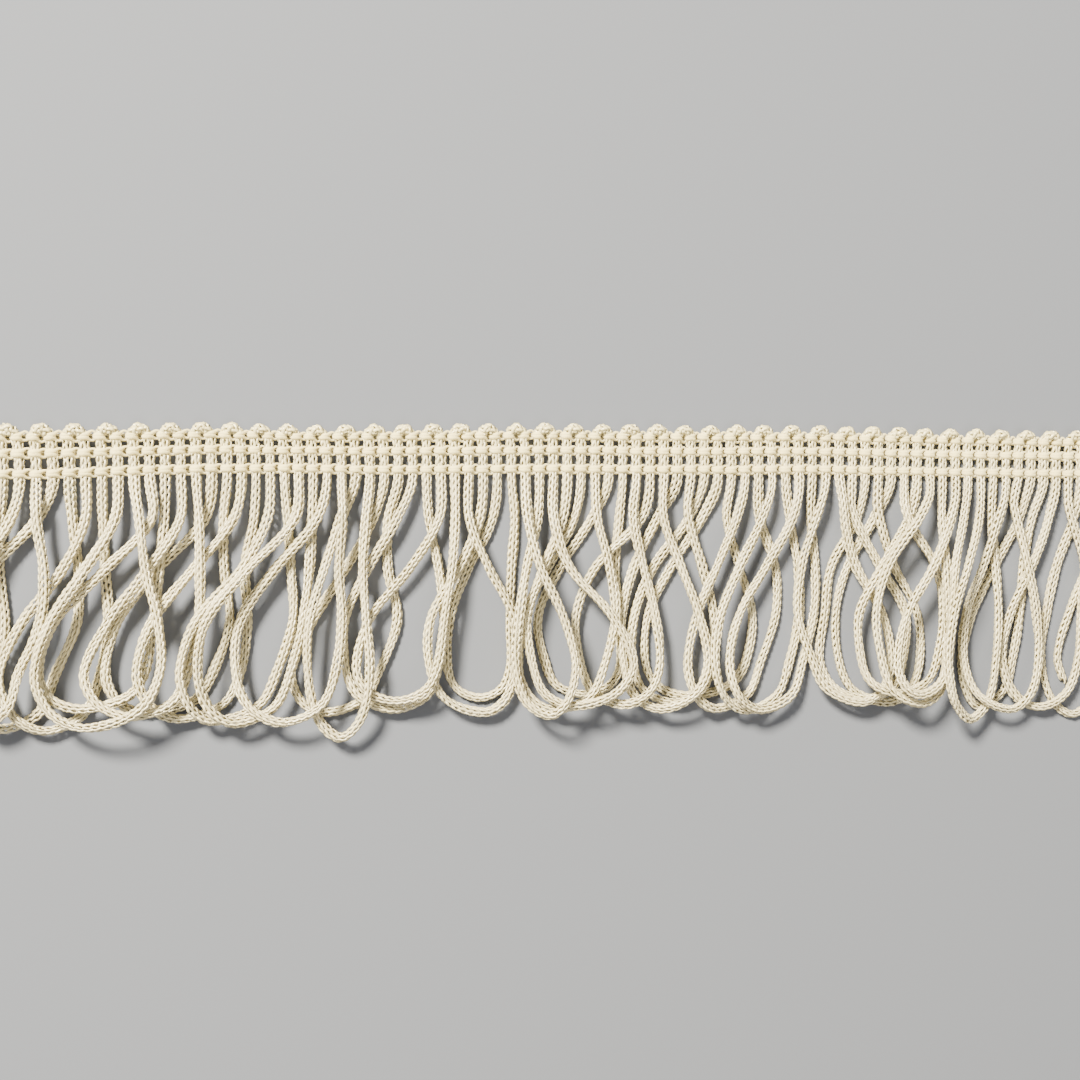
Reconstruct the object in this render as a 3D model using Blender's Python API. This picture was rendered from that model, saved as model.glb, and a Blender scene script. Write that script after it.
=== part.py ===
"""Chainette fringe trim: a cut length of picot-edged, chain-stitched heading
with long hanging loops of chainette cord, lying flat.

One cord of chainette runs back and forth. Above the heading it turns over in
a small picot bump, below it falls in a long loop. Three rows of chain stitch
hold it. The frame is metres with +Z up: X runs along the trim, +Y points from
the loops to the picots, and Z = 0 is the surface that it lies on.
"""
import bpy
import bmesh
import numpy as np
from mathutils import Vector

MM = 0.001

# Chainette cord, in millimetres like every size below
CORD_WIDTH = 2.0
CORD_THICK = 1.15
LAYER_STEP = 1.48          # centre to centre where one cord lies over another
SIDE_BY_SIDE = 2.34        # centres further apart than this may share a layer

# Heading: rows of chain stitch across the runs of cord
FIRST_RUN = -2             # runs are counted from the first whole loop's left
LAST_RUN = 79
END_MARGIN = 1.45
ROOT_Z = 1.2
PLATE_TOP = 1.9
STITCH_RISE = 0.5
STITCH_INSET = 0.3
HOLE_DEPTH = 0.8
HOLE_INSET = 0.16

# Heights above the lowest chain row's middle, upwards along +Y
FRINGE_ROW_BOTTOM = -1.2
FRINGE_ROW_TOP = 1.05
HEADING_BOTTOM = 1.35
MIDDLE_ROW = (2.95, 5.05)
UPPER_ROW = (5.85, 7.75)
PICOT_VALLEY = 8.1
PICOT_TOP = 9.4

# Where the runs meet the heading: (run, distance from the first stretch's end)
RUN_SPACING = ((-2, 0.5), (3, 16.2), (8, 31.5), (14, 49.4), (21, 69.0), (31, 97.5),
               (37, 114.9), (40, 123.6), (50, 152.6), (59, 179.0), (69, 207.8), (79, 236.6))

# The table's places are those seen from above by an eye here, and are true for
# cords whose middle lies at SEEN_HEIGHT. A higher cord lies nearer to the eye.
EYE = (75.9, -14.33)
EYE_HEIGHT = 265.7
SEEN_HEIGHT = 2.2

# Heights at which a leg's sideways place is given in the table of loops
LEG_HEIGHTS = (-10.0, -20.0, -30.0, -40.0)
RINGS_PER_LOOP = 22
RINGS_PER_TAIL = 10
TURN_WEIGHT = 9.0          # millimetres of straight cord worth one radian of turn

# One row for each loop, left to right. a is its left run, b its right run.
# a10 is the sideways place of leg a at 10 mm below the lowest row, and so on;
# foot_x and foot_y are the loop's lowest point. Where two loops cross, the one
# with the larger number in the last column lies over the other.
LOOP_COLUMNS = ("a10", "a20", "a30", "a40", "foot_x", "foot_y",
                "b40", "b30", "b20", "b10", "over")
LOOPS = (
    (3.2, 1.0, -0.2, -0.6, 2.6, -47.0, 5.6, 7.3, 6.3, 6.5, 2),
    (8.3, 2.5, 0.5, 0.3, 2.4, -49.4, 9.6, 13.8, 14.6, 13.4, 6),
    (13.3, 4.2, 1.2, 1.0, 6.4, -50.4, 16.6, 20.7, 21.0, 20.0, 2),
    (22.3, 17.8, 10.4, 6.0, 14.5, -51.0, 25.0, 26.6, 26.1, 25.7, 4),
    (28.0, 22.3, 15.8, 13.0, 22.5, -50.6, 36.3, 36.0, 33.7, 32.6, 12),
    (34.9, 26.0, 16.8, 13.9, 21.5, -46.8, 33.5, 35.2, 36.2, 37.3, 8),
    (40.3, 34.0, 26.6, 22.0, 31.0, -48.6, 41.7, 43.9, 44.1, 44.0, 10),
    (45.0, 35.7, 28.4, 26.0, 34.0, -47.9, 46.6, 49.8, 48.8, 48.7, 6),
    (50.6, 42.6, 34.9, 31.9, 40.0, -49.2, 51.9, 53.3, 52.8, 54.6, 8),
    (57.2, 52.0, 43.3, 40.1, 46.5, -49.8, 59.0, 62.1, 61.8, 61.2, 10),
    (62.5, 53.3, 45.3, 43.6, 50.5, -50.3, 61.7, 64.1, 65.4, 66.0, 12),
    (66.9, 58.6, 51.9, 50.9, 60.0, -50.4, 70.6, 71.8, 71.3, 72.0, 14),
    (71.6, 68.3, 65.4, 65.0, 71.5, -53.7, 77.3, 76.6, 76.0, 76.7, 12),
    (78.0, 72.5, 66.1, 61.7, 68.0, -48.6, 79.4, 82.8, 81.0, 81.2, 6),
    (82.8, 76.9, 72.4, 72.5, 82.0, -48.2, 91.0, 92.2, 91.2, 89.3, 8),
    (91.3, 85.3, 77.3, 74.6, 82.5, -46.6, 90.8, 92.3, 93.9, 94.6, 10),
    (97.5, 101.4, 106.4, 106.6, 100.5, -49.3, 89.3, 89.6, 95.3, 99.5, 8),
    (102.1, 97.1, 93.4, 92.9, 99.5, -46.3, 105.7, 105.6, 106.0, 106.7, 6),
    (109.5, 112.0, 116.6, 119.1, 113.8, -50.2, 106.7, 107.6, 109.1, 111.4, 16),
    (114.8, 118.1, 126.8, 131.4, 119.0, -48.4, 110.3, 109.2, 112.6, 116.6, 14),
    (119.0, 113.4, 108.6, 107.3, 115.0, -49.0, 125.3, 127.6, 126.4, 123.9, 12),
    (122.6, 116.0, 111.4, 113.0, 121.0, -46.0, 128.5, 128.3, 127.5, 128.4, 6),
    (131.4, 133.5, 135.9, 136.8, 129.5, -48.3, 120.3, 119.3, 123.4, 133.0, 11),
    (137.9, 141.6, 145.4, 147.2, 137.0, -49.4, 129.2, 129.0, 131.5, 136.4, 10),
    (143.5, 146.1, 148.4, 148.0, 140.0, -48.1, 131.0, 131.5, 135.8, 143.4, 6),
    (145.9, 139.3, 134.4, 133.8, 143.0, -46.8, 155.1, 156.6, 153.8, 151.2, 4),
    (153.3, 149.3, 145.0, 142.8, 148.5, -49.6, 158.4, 161.7, 161.6, 158.3, 8),
    (158.9, 154.1, 150.0, 148.6, 155.0, -50.1, 164.6, 166.8, 166.5, 164.8, 10),
    (165.2, 159.5, 153.6, 151.4, 158.5, -50.1, 168.3, 171.1, 171.2, 169.8, 12),
    (171.0, 168.2, 167.4, 170.4, 180.5, -49.0, 187.0, 185.0, 179.1, 176.4, 14),
    (179.4, 184.7, 190.7, 190.0, 181.5, -48.2, 171.6, 173.0, 174.2, 179.5, 8),
    (184.7, 187.7, 192.7, 193.4, 186.2, -49.1, 175.4, 174.8, 177.5, 183.4, 6),
    (190.9, 196.6, 198.4, 197.0, 188.5, -47.2, 180.5, 180.1, 185.6, 191.0, 16),
    (193.3, 186.7, 183.8, 184.9, 193.5, -49.6, 199.0, 199.3, 199.0, 198.3, 18),
    (200.3, 196.5, 190.5, 188.2, 193.0, -47.6, 199.2, 200.3, 201.1, 203.2, 20),
    (206.6, 203.9, 200.9, 199.2, 204.6, -53.1, 210.7, 211.4, 211.1, 210.2, 22),
    (211.9, 208.6, 204.6, 203.6, 214.0, -51.3, 220.3, 219.7, 218.1, 216.6, 24),
    (216.9, 210.9, 205.5, 202.8, 206.5, -50.4, 214.4, 216.1, 216.9, 219.0, 10),
    (222.7, 219.2, 214.2, 212.0, 220.5, -50.9, 229.5, 230.2, 231.0, 228.2, 14),
    (228.6, 224.7, 222.3, 221.0, 228.0, -52.6, 235.0, 235.6, 235.0, 233.8, 8),
)

# The two end runs are cut off short of a loop: the place of each along its way
TAIL_COLUMNS = ("run", "t10", "t20", "t30", "t40", "end_x", "end_y", "over")
TAILS = (
    (-2, 0.6, 0.2, 0.2, 1.2, 2.0, -45.0, 0),
    (79, 235.0, 231.9, 227.6, 224.6, 226.0, -46.5, 1),
)

# Settling of the heap of cords
SETTLE_ROUNDS = 500
SAMPLES_PER_STRETCH = 5
STIFFNESS = 0.22
WEIGHT_STEP = 0.02


def run_x(run):
    """Sideways place at which a run of cord leaves the heading."""
    runs, places = zip(*RUN_SPACING)
    return float(np.interp(run, runs, places))


def true_place(seen, height):
    """Where a place seen from above lies, for a cord at this height."""
    nearer = (EYE_HEIGHT - np.asarray(height)) / (EYE_HEIGHT - SEEN_HEIGHT)
    return np.array(EYE) + (np.asarray(seen) - EYE) * nearer[..., None]


def seen_root(run):
    """Place at which a run is seen to leave the lowest chain row."""
    nearer = (EYE_HEIGHT - ROOT_Z) / (EYE_HEIGHT - SEEN_HEIGHT)
    return EYE[0] + (run_x(run) - EYE[0]) / nearer, FRINGE_ROW_BOTTOM


def foot_shoulder(leg, foot):
    """Point at 45 degrees on the quarter ellipse from a leg down to a foot."""
    return (leg[0] + (foot[0] - leg[0]) * (1 - np.sqrt(0.5)),
            leg[1] + (foot[1] - leg[1]) * np.sqrt(0.5))


def smooth_way(points, start_dir, end_dir, steps=16):
    """Curve through points, as a dense list, leaving and arriving as given."""
    points = np.array(points)
    spans = np.linalg.norm(np.diff(points, axis=0), axis=1)
    times = np.concatenate(([0.0], np.cumsum(spans)))
    slopes = np.empty_like(points)
    slopes[1:-1] = (points[2:] - points[:-2]) / (times[2:] - times[:-2])[:, None]
    slopes[0] = start_dir
    slopes[-1] = end_dir if end_dir is not None else slopes[-2]
    way = []
    for i, span in enumerate(spans):
        for t in np.linspace(0, 1, steps, endpoint=False):
            way.append((2 * t**3 - 3 * t**2 + 1) * points[i]
                       + (t**3 - 2 * t**2 + t) * span * slopes[i]
                       + (3 * t**2 - 2 * t**3) * points[i + 1]
                       + (t**3 - t**2) * span * slopes[i + 1])
    way.append(points[-1])
    return np.array(way)


def ring_count(way, count):
    """How many cross-sections each point of a way is on, closer together in bends."""
    steps = np.diff(way, axis=0)
    lengths = np.linalg.norm(steps, axis=1)
    headings = np.unwrap(np.arctan2(steps[:, 1], steps[:, 0]))
    turns = np.concatenate(([0.0], np.abs(np.diff(headings))))
    measure = np.concatenate(([0.0], np.cumsum(lengths + TURN_WEIGHT * turns)))
    return measure / measure[-1] * (count + 1)


def take_rings(strand):
    """Set the places of a strand's cross-sections from its way."""
    rings = np.arange(round(strand["passed"][-1]) + 1)
    strand["places"] = np.column_stack(
        [np.interp(rings, strand["passed"], strand["way"][:, k]) for k in (0, 1)])


def loop_way(index):
    """Flat route of one loop, from its left root to its right root."""
    row = dict(zip(LOOP_COLUMNS, LOOPS[index]))
    foot = (row["foot_x"], row["foot_y"])
    left = [(row[name], y) for name, y in zip(("a10", "a20", "a30", "a40"), LEG_HEIGHTS)]
    right = [(row[name], y) for name, y in zip(("b10", "b20", "b30", "b40"), LEG_HEIGHTS)]
    run = FIRST_RUN + 1 + 2 * index
    points = [seen_root(run), *left, foot_shoulder(left[-1], foot), foot,
              foot_shoulder(right[-1], foot), *reversed(right), seen_root(run + 1)]
    return smooth_way(points, (0, -1), (0, 1)), row["over"]


def tail_way(values):
    """Flat route of an end run that is cut off."""
    row = dict(zip(TAIL_COLUMNS, values))
    leg = [(row[name], y) for name, y in zip(("t10", "t20", "t30", "t40"), LEG_HEIGHTS)]
    points = [seen_root(row["run"]), *leg, (row["end_x"], row["end_y"])]
    return smooth_way(points, (0, -1), None), row["over"]


def lay_out():
    """Flat way of every strand as it is seen, and what it lies over."""
    strands = []
    for index in range(len(LOOPS)):
        way, over = loop_way(index)
        strands.append({"way": way, "passed": ring_count(way, RINGS_PER_LOOP),
                        "over": over, "loop": index, "tail": False})
    for tail_index, values in enumerate(TAILS):
        way, over = tail_way(values)
        strands.append({"way": way, "passed": ring_count(way, RINGS_PER_TAIL),
                        "over": over, "loop": len(LOOPS) + tail_index, "tail": True})
    return strands


def ring_heights(strand):
    """Settled height at each point of a strand's way."""
    return np.interp(strand["passed"], np.arange(len(strand["heights"])), strand["heights"])


def lay_down():
    """Every strand at its true place and height, settled on those below."""
    strands = lay_out()
    for strand in strands:
        take_rings(strand)
    settle(strands)
    for strand in strands:
        strand["way"] = true_place(strand["way"], ring_heights(strand))
        take_rings(strand)
    settle(strands)
    return strands


def crossing_pairs(strands):
    """Samples of cords that lie over each other: (upper, lower) mixing rows."""
    fractions = (np.arange(SAMPLES_PER_STRETCH) + 0.5) / SAMPLES_PER_STRETCH
    spots, order, owner, along, first, share = [], [], [], [], [], []
    base = 0
    for number, strand in enumerate(strands):
        places = strand["places"]
        for i in range(len(places) - 1):
            for f in fractions:
                spots.append(places[i] * (1 - f) + places[i + 1] * f)
                order.append(strand["over"] * 1000 + strand["loop"])
                owner.append(number)
                along.append(i + f)
                first.append(base + i)
                share.append(f)
        base += len(places)
    spots, order = np.array(spots), np.array(order)
    owner, along = np.array(owner), np.array(along)
    gaps = np.linalg.norm(spots[:, None, :] - spots[None, :, :], axis=2)
    apart = (owner[:, None] != owner[None, :]) | (np.abs(along[:, None] - along[None, :]) > 6)
    rank = order - along / 1000
    above = rank[:, None] > rank[None, :]
    upper, lower = np.nonzero((gaps < SIDE_BY_SIDE) & apart & above)
    return upper, lower, np.array(first), np.array(share)


def settle(strands):
    """Height of every cross-section once the cords rest on what is below."""
    upper, lower, first, share = crossing_pairs(strands)
    counts = [len(strand["places"]) for strand in strands]
    starts = np.concatenate(([0], np.cumsum(counts)))
    fixed = np.zeros(starts[-1], dtype=bool)
    ends = np.zeros(starts[-1], dtype=bool)
    for number, strand in enumerate(strands):
        fixed[starts[number]] = True
        ends[starts[number + 1] - 1] = True
        if not strand["tail"]:
            fixed[starts[number + 1] - 1] = True
    floor = CORD_THICK / 2
    height = np.full(starts[-1], floor)
    height[fixed] = ROOT_Z
    inner = ~fixed & ~ends
    inner_at = np.nonzero(inner)[0]
    for turn in range(SETTLE_ROUNDS):
        ease = 1.0 - turn / SETTLE_ROUNDS
        middle = (height[inner_at - 1] + height[inner_at + 1]) / 2
        height[inner_at] += STIFFNESS * ease * (middle - height[inner_at])
        height[~fixed] -= WEIGHT_STEP * ease
        for _ in range(2):
            sample = height[first] * (1 - share) + height[first + 1] * share
            short = LAYER_STEP - (sample[upper] - sample[lower])
            lack = short > 0
            push = short[lack]
            up, down = upper[lack], lower[lack]
            lift = np.zeros_like(height)
            drop = np.zeros_like(height)
            for end_of in (0, 1):
                np.maximum.at(lift, first[up] + end_of, push)
                np.maximum.at(drop, first[down] + end_of, push * ease)
            height += np.where(fixed, 0, 0.6 * lift - 0.35 * drop)
            height = np.where(fixed, height, np.maximum(height, floor))
    for number, strand in enumerate(strands):
        strand["heights"] = height[starts[number]:starts[number + 1]].copy()


def section_corners(strand):
    """Four corners of each flat cross-section of a strand, in millimetres."""
    places = strand["places"]
    ways = np.gradient(places, axis=0)
    ways[0] = (0, -1)
    if not strand["tail"]:
        ways[-1] = (0, 1)
    ways /= np.linalg.norm(ways, axis=1)[:, None]
    sides = np.column_stack((-ways[:, 1], ways[:, 0])) * CORD_WIDTH / 2
    rings = []
    for place, side, height in zip(places, sides, strand["heights"]):
        low, high = height - CORD_THICK / 2, height + CORD_THICK / 2
        rings.append([(*(place - side), low), (*(place + side), low),
                      (*(place + side), high), (*(place - side), high)])
    return rings


def add_ring(bm, corners):
    return [bm.verts.new(Vector(corner) * MM) for corner in corners]


def skin(bm, ring_a, ring_b, skipped=()):
    """Faces between two rings of points, less the sides that are skipped."""
    faces = {}
    count = len(ring_a)
    for side in range(count):
        if side not in skipped:
            nxt = (side + 1) % count
            faces[side] = bm.faces.new((ring_a[side], ring_a[nxt], ring_b[nxt], ring_b[side]))
    return faces


def swell(bm, faces, inset, rise):
    """Raise each face as a stitch, or sink it as a hole, within its own rim."""
    bmesh.ops.inset_individual(bm, faces=faces, thickness=inset * MM, use_even_offset=True)
    for face in faces:
        for vert in face.verts:
            vert.co.z += rise * MM


def finish(bm, name, material, collection):
    bmesh.ops.recalc_face_normals(bm, faces=bm.faces[:])
    mesh = bpy.data.meshes.new(name)
    bm.to_mesh(mesh)
    bm.free()
    mesh.materials.append(material)
    piece = bpy.data.objects.new(name, mesh)
    collection.objects.link(piece)
    return piece


def station_places():
    """Places along the heading where its profile is set: both sides of each run."""
    half = CORD_WIDTH / 2
    stations = [(run_x(FIRST_RUN) - END_MARGIN, None)]
    for run in range(FIRST_RUN, LAST_RUN + 1):
        stations.append((run_x(run) - half, run))
        stations.append((run_x(run) + half, run))
    stations.append((run_x(LAST_RUN) + END_MARGIN, None))
    return stations


def heading(material, collection):
    """Upper two chain rows and the picot edge, flat behind."""
    bm = bmesh.new()
    stations = station_places()
    lines = (HEADING_BOTTOM, *MIDDLE_ROW, *UPPER_ROW)
    rings = []
    for number, (x, run) in enumerate(stations):
        left_of_run = number % 2 == 1
        inside_picot = run is not None and left_of_run == (run % 2 == 1)
        crest = PICOT_TOP if inside_picot else PICOT_VALLEY
        corners = [(x, y, PLATE_TOP) for y in (*lines, crest)]
        corners += [(x, crest, 0), (x, HEADING_BOTTOM, 0)]
        rings.append(add_ring(bm, corners))
    stitches, holes = [], []
    for number, (ring_a, ring_b) in enumerate(zip(rings, rings[1:])):
        faces = skin(bm, ring_a, ring_b)
        if number % 2 == 1:
            stitches += [faces[1], faces[3]]
        elif 0 < number < len(rings) - 2:
            holes += [faces[0], faces[2]]
    bm.faces.new(rings[0])
    bm.faces.new(reversed(rings[-1]))
    bmesh.ops.recalc_face_normals(bm, faces=bm.faces[:])
    swell(bm, stitches, STITCH_INSET, STITCH_RISE)
    swell(bm, holes, HOLE_INSET, -HOLE_DEPTH)
    return finish(bm, "picot_heading", material, collection)


def loop_fringe(material, collection):
    """Lowest chain row as a narrow strip, with every loop fused to it."""
    bm = bmesh.new()
    low, high = ROOT_Z - CORD_THICK / 2, ROOT_Z + CORD_THICK / 2
    front, back = FRINGE_ROW_BOTTOM, FRINGE_ROW_TOP
    stations = station_places()
    rings = [add_ring(bm, [(x, front, 0), (x, front, low), (x, front, high),
                           (x, back, high), (x, back, 0)]) for x, _ in stations]
    stitches, roots = [], {}
    for number, (ring_a, ring_b) in enumerate(zip(rings, rings[1:])):
        if number % 2 == 1:
            faces = skin(bm, ring_a, ring_b, skipped=(1,))
            stitches.append(faces[2])
            roots[stations[number][1]] = [ring_a[1], ring_b[1], ring_b[2], ring_a[2]]
        else:
            skin(bm, ring_a, ring_b)
    bm.faces.new(rings[0])
    bm.faces.new(reversed(rings[-1]))
    strands = lay_down()
    for strand in strands:
        corners = section_corners(strand)
        if strand["tail"]:
            run = TAILS[strand["loop"] - len(LOOPS)][0]
            previous = roots[run]
            ring = None
            for ring_corners in corners[1:]:
                ring = add_ring(bm, ring_corners)
                skin(bm, previous, ring)
                previous = ring
            bm.faces.new(ring)
            continue
        run = FIRST_RUN + 1 + 2 * strand["loop"]
        previous = roots[run]
        for ring_corners in corners[1:-1]:
            ring = add_ring(bm, ring_corners)
            skin(bm, previous, ring)
            previous = ring
        last = roots[run + 1]
        skin(bm, previous, [last[1], last[0], last[3], last[2]])
    bmesh.ops.recalc_face_normals(bm, faces=bm.faces[:])
    swell(bm, stitches, STITCH_INSET, STITCH_RISE)
    return finish(bm, "loop_fringe", material, collection)


def yarn_material(name, colour, roughness, sheen):
    material = bpy.data.materials.new(name)
    material.use_nodes = True
    shader = material.node_tree.nodes["Principled BSDF"]
    shader.inputs["Base Color"].default_value = (*colour, 1.0)
    shader.inputs["Roughness"].default_value = roughness
    shader.inputs["Metallic"].default_value = 0.0
    shader.inputs["Sheen Weight"].default_value = sheen
    return material


def centre_on_floor(pieces):
    """Move the pieces so that the origin is the middle of their base."""
    corners = np.array([vert.co[:] for piece in pieces for vert in piece.data.vertices])
    low, high = corners.min(axis=0), corners.max(axis=0)
    shift = Vector((-(low[0] + high[0]) / 2, -(low[1] + high[1]) / 2, -low[2]))
    for piece in pieces:
        piece.data.transform(piece.matrix_world.Translation(shift))


def main():
    for piece in list(bpy.data.objects):
        bpy.data.objects.remove(piece, do_unlink=True)
    collection = bpy.data.collections.new("chainette_fringe_trim")
    bpy.context.scene.collection.children.link(collection)
    stitch_yarn = yarn_material("chain_stitch_yarn", (0.80, 0.76, 0.62), 0.75, 0.3)
    cord = yarn_material("chainette_cord", (0.82, 0.78, 0.68), 0.45, 0.2)
    pieces = [heading(stitch_yarn, collection), loop_fringe(cord, collection)]
    centre_on_floor(pieces)


main()
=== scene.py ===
"""Looks of the chainette fringe trim, laid over its solids.

One long chainette cord is followed from its cut left end, up and down the
runs, over each picot bump and round each hanging loop, and is knitted stitch
by stitch along that way. Three rows of crocheted chain links, with yarns laid
in behind them, hold the runs. Lengths are millimetres until a mesh is made,
and places are measured from near the left end of the lowest chain row.
"""

import bpy
import numpy as np
from mathutils import Matrix, Vector


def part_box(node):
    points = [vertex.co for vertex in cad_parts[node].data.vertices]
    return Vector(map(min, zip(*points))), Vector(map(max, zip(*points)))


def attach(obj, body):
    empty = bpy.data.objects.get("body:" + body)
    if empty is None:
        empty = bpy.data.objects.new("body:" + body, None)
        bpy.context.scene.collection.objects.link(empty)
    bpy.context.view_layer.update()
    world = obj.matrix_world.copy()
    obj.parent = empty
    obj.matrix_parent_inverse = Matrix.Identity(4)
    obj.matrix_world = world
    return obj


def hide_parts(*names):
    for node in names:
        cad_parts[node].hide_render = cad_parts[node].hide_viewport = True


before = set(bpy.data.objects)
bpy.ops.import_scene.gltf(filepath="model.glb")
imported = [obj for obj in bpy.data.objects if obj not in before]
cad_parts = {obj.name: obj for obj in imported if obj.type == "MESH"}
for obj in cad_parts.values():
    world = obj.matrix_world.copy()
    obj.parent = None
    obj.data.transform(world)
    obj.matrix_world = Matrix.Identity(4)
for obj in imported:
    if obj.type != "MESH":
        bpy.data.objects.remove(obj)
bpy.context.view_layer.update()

MM = 0.001

# Chainette cord as the solids have it
CORD_THICK = 1.15
LAYER_STEP = 1.48          # between the middles of cords that cross
SIDE_BY_SIDE = 2.34        # cords nearer than this lie over each other

# Heading, in heights above the lowest chain row's middle
FIRST_RUN = -2
LAST_RUN = 79
END_MARGIN = 1.45
ROOT_Z = 1.2
FRINGE_ROW_BOTTOM = -1.2
PICOT_TOP = 9.4
CHAIN_ROWS = (0.03, 3.8, 6.85)
TOP_ROW = 2

# Where the runs meet the heading: (run, place along it)
RUN_SPACING = ((-2, 0.5), (3, 16.2), (8, 31.5), (14, 49.4), (21, 69.0), (31, 97.5),
               (37, 114.9), (40, 123.6), (50, 152.6), (59, 179.0), (69, 207.8), (79, 236.6))

# The table's places are those seen from above by an eye here, and are true for
# cords whose middle lies at SEEN_HEIGHT. A higher cord lies nearer to the eye.
EYE = (75.9, -14.33)
EYE_HEIGHT = 265.7
SEEN_HEIGHT = 2.2

# Heights at which a leg's sideways place is given in the table of loops
LEG_HEIGHTS = (-10.0, -20.0, -30.0, -40.0)
RINGS_PER_LOOP = 22
RINGS_PER_TAIL = 10
TURN_WEIGHT = 9.0

# One row for each loop, left to right. a is its left run, b its right run.
# a10 is the sideways place of leg a at 10 mm below the lowest row, and so on;
# foot_x and foot_y are the loop's lowest point. Where two loops cross, the one
# with the larger number in the last column lies over the other.
LOOP_COLUMNS = ("a10", "a20", "a30", "a40", "foot_x", "foot_y",
                "b40", "b30", "b20", "b10", "over")
LOOPS = (
    (3.2, 1.0, -0.2, -0.6, 2.6, -47.0, 5.6, 7.3, 6.3, 6.5, 2),
    (8.3, 2.5, 0.5, 0.3, 2.4, -49.4, 9.6, 13.8, 14.6, 13.4, 6),
    (13.3, 4.2, 1.2, 1.0, 6.4, -50.4, 16.6, 20.7, 21.0, 20.0, 2),
    (22.3, 17.8, 10.4, 6.0, 14.5, -51.0, 25.0, 26.6, 26.1, 25.7, 4),
    (28.0, 22.3, 15.8, 13.0, 22.5, -50.6, 36.3, 36.0, 33.7, 32.6, 12),
    (34.9, 26.0, 16.8, 13.9, 21.5, -46.8, 33.5, 35.2, 36.2, 37.3, 8),
    (40.3, 34.0, 26.6, 22.0, 31.0, -48.6, 41.7, 43.9, 44.1, 44.0, 10),
    (45.0, 35.7, 28.4, 26.0, 34.0, -47.9, 46.6, 49.8, 48.8, 48.7, 6),
    (50.6, 42.6, 34.9, 31.9, 40.0, -49.2, 51.9, 53.3, 52.8, 54.6, 8),
    (57.2, 52.0, 43.3, 40.1, 46.5, -49.8, 59.0, 62.1, 61.8, 61.2, 10),
    (62.5, 53.3, 45.3, 43.6, 50.5, -50.3, 61.7, 64.1, 65.4, 66.0, 12),
    (66.9, 58.6, 51.9, 50.9, 60.0, -50.4, 70.6, 71.8, 71.3, 72.0, 14),
    (71.6, 68.3, 65.4, 65.0, 71.5, -53.7, 77.3, 76.6, 76.0, 76.7, 12),
    (78.0, 72.5, 66.1, 61.7, 68.0, -48.6, 79.4, 82.8, 81.0, 81.2, 6),
    (82.8, 76.9, 72.4, 72.5, 82.0, -48.2, 91.0, 92.2, 91.2, 89.3, 8),
    (91.3, 85.3, 77.3, 74.6, 82.5, -46.6, 90.8, 92.3, 93.9, 94.6, 10),
    (97.5, 101.4, 106.4, 106.6, 100.5, -49.3, 89.3, 89.6, 95.3, 99.5, 8),
    (102.1, 97.1, 93.4, 92.9, 99.5, -46.3, 105.7, 105.6, 106.0, 106.7, 6),
    (109.5, 112.0, 116.6, 119.1, 113.8, -50.2, 106.7, 107.6, 109.1, 111.4, 16),
    (114.8, 118.1, 126.8, 131.4, 119.0, -48.4, 110.3, 109.2, 112.6, 116.6, 14),
    (119.0, 113.4, 108.6, 107.3, 115.0, -49.0, 125.3, 127.6, 126.4, 123.9, 12),
    (122.6, 116.0, 111.4, 113.0, 121.0, -46.0, 128.5, 128.3, 127.5, 128.4, 6),
    (131.4, 133.5, 135.9, 136.8, 129.5, -48.3, 120.3, 119.3, 123.4, 133.0, 11),
    (137.9, 141.6, 145.4, 147.2, 137.0, -49.4, 129.2, 129.0, 131.5, 136.4, 10),
    (143.5, 146.1, 148.4, 148.0, 140.0, -48.1, 131.0, 131.5, 135.8, 143.4, 6),
    (145.9, 139.3, 134.4, 133.8, 143.0, -46.8, 155.1, 156.6, 153.8, 151.2, 4),
    (153.3, 149.3, 145.0, 142.8, 148.5, -49.6, 158.4, 161.7, 161.6, 158.3, 8),
    (158.9, 154.1, 150.0, 148.6, 155.0, -50.1, 164.6, 166.8, 166.5, 164.8, 10),
    (165.2, 159.5, 153.6, 151.4, 158.5, -50.1, 168.3, 171.1, 171.2, 169.8, 12),
    (171.0, 168.2, 167.4, 170.4, 180.5, -49.0, 187.0, 185.0, 179.1, 176.4, 14),
    (179.4, 184.7, 190.7, 190.0, 181.5, -48.2, 171.6, 173.0, 174.2, 179.5, 8),
    (184.7, 187.7, 192.7, 193.4, 186.2, -49.1, 175.4, 174.8, 177.5, 183.4, 6),
    (190.9, 196.6, 198.4, 197.0, 188.5, -47.2, 180.5, 180.1, 185.6, 191.0, 16),
    (193.3, 186.7, 183.8, 184.9, 193.5, -49.6, 199.0, 199.3, 199.0, 198.3, 18),
    (200.3, 196.5, 190.5, 188.2, 193.0, -47.6, 199.2, 200.3, 201.1, 203.2, 20),
    (206.6, 203.9, 200.9, 199.2, 204.6, -53.1, 210.7, 211.4, 211.1, 210.2, 22),
    (211.9, 208.6, 204.6, 203.6, 214.0, -51.3, 220.3, 219.7, 218.1, 216.6, 24),
    (216.9, 210.9, 205.5, 202.8, 206.5, -50.4, 214.4, 216.1, 216.9, 219.0, 10),
    (222.7, 219.2, 214.2, 212.0, 220.5, -50.9, 229.5, 230.2, 231.0, 228.2, 14),
    (228.6, 224.7, 222.3, 221.0, 228.0, -52.6, 235.0, 235.6, 235.0, 233.8, 8),
)

# The two end runs are cut off short of a loop: the place of each along its way
TAIL_COLUMNS = ("run", "t10", "t20", "t30", "t40", "end_x", "end_y", "over")
TAILS = (
    (-2, 0.6, 0.2, 0.2, 1.2, 2.0, -45.0, 0),
    (79, 235.0, 231.9, 227.6, 224.6, 226.0, -46.5, 1),
)

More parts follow.
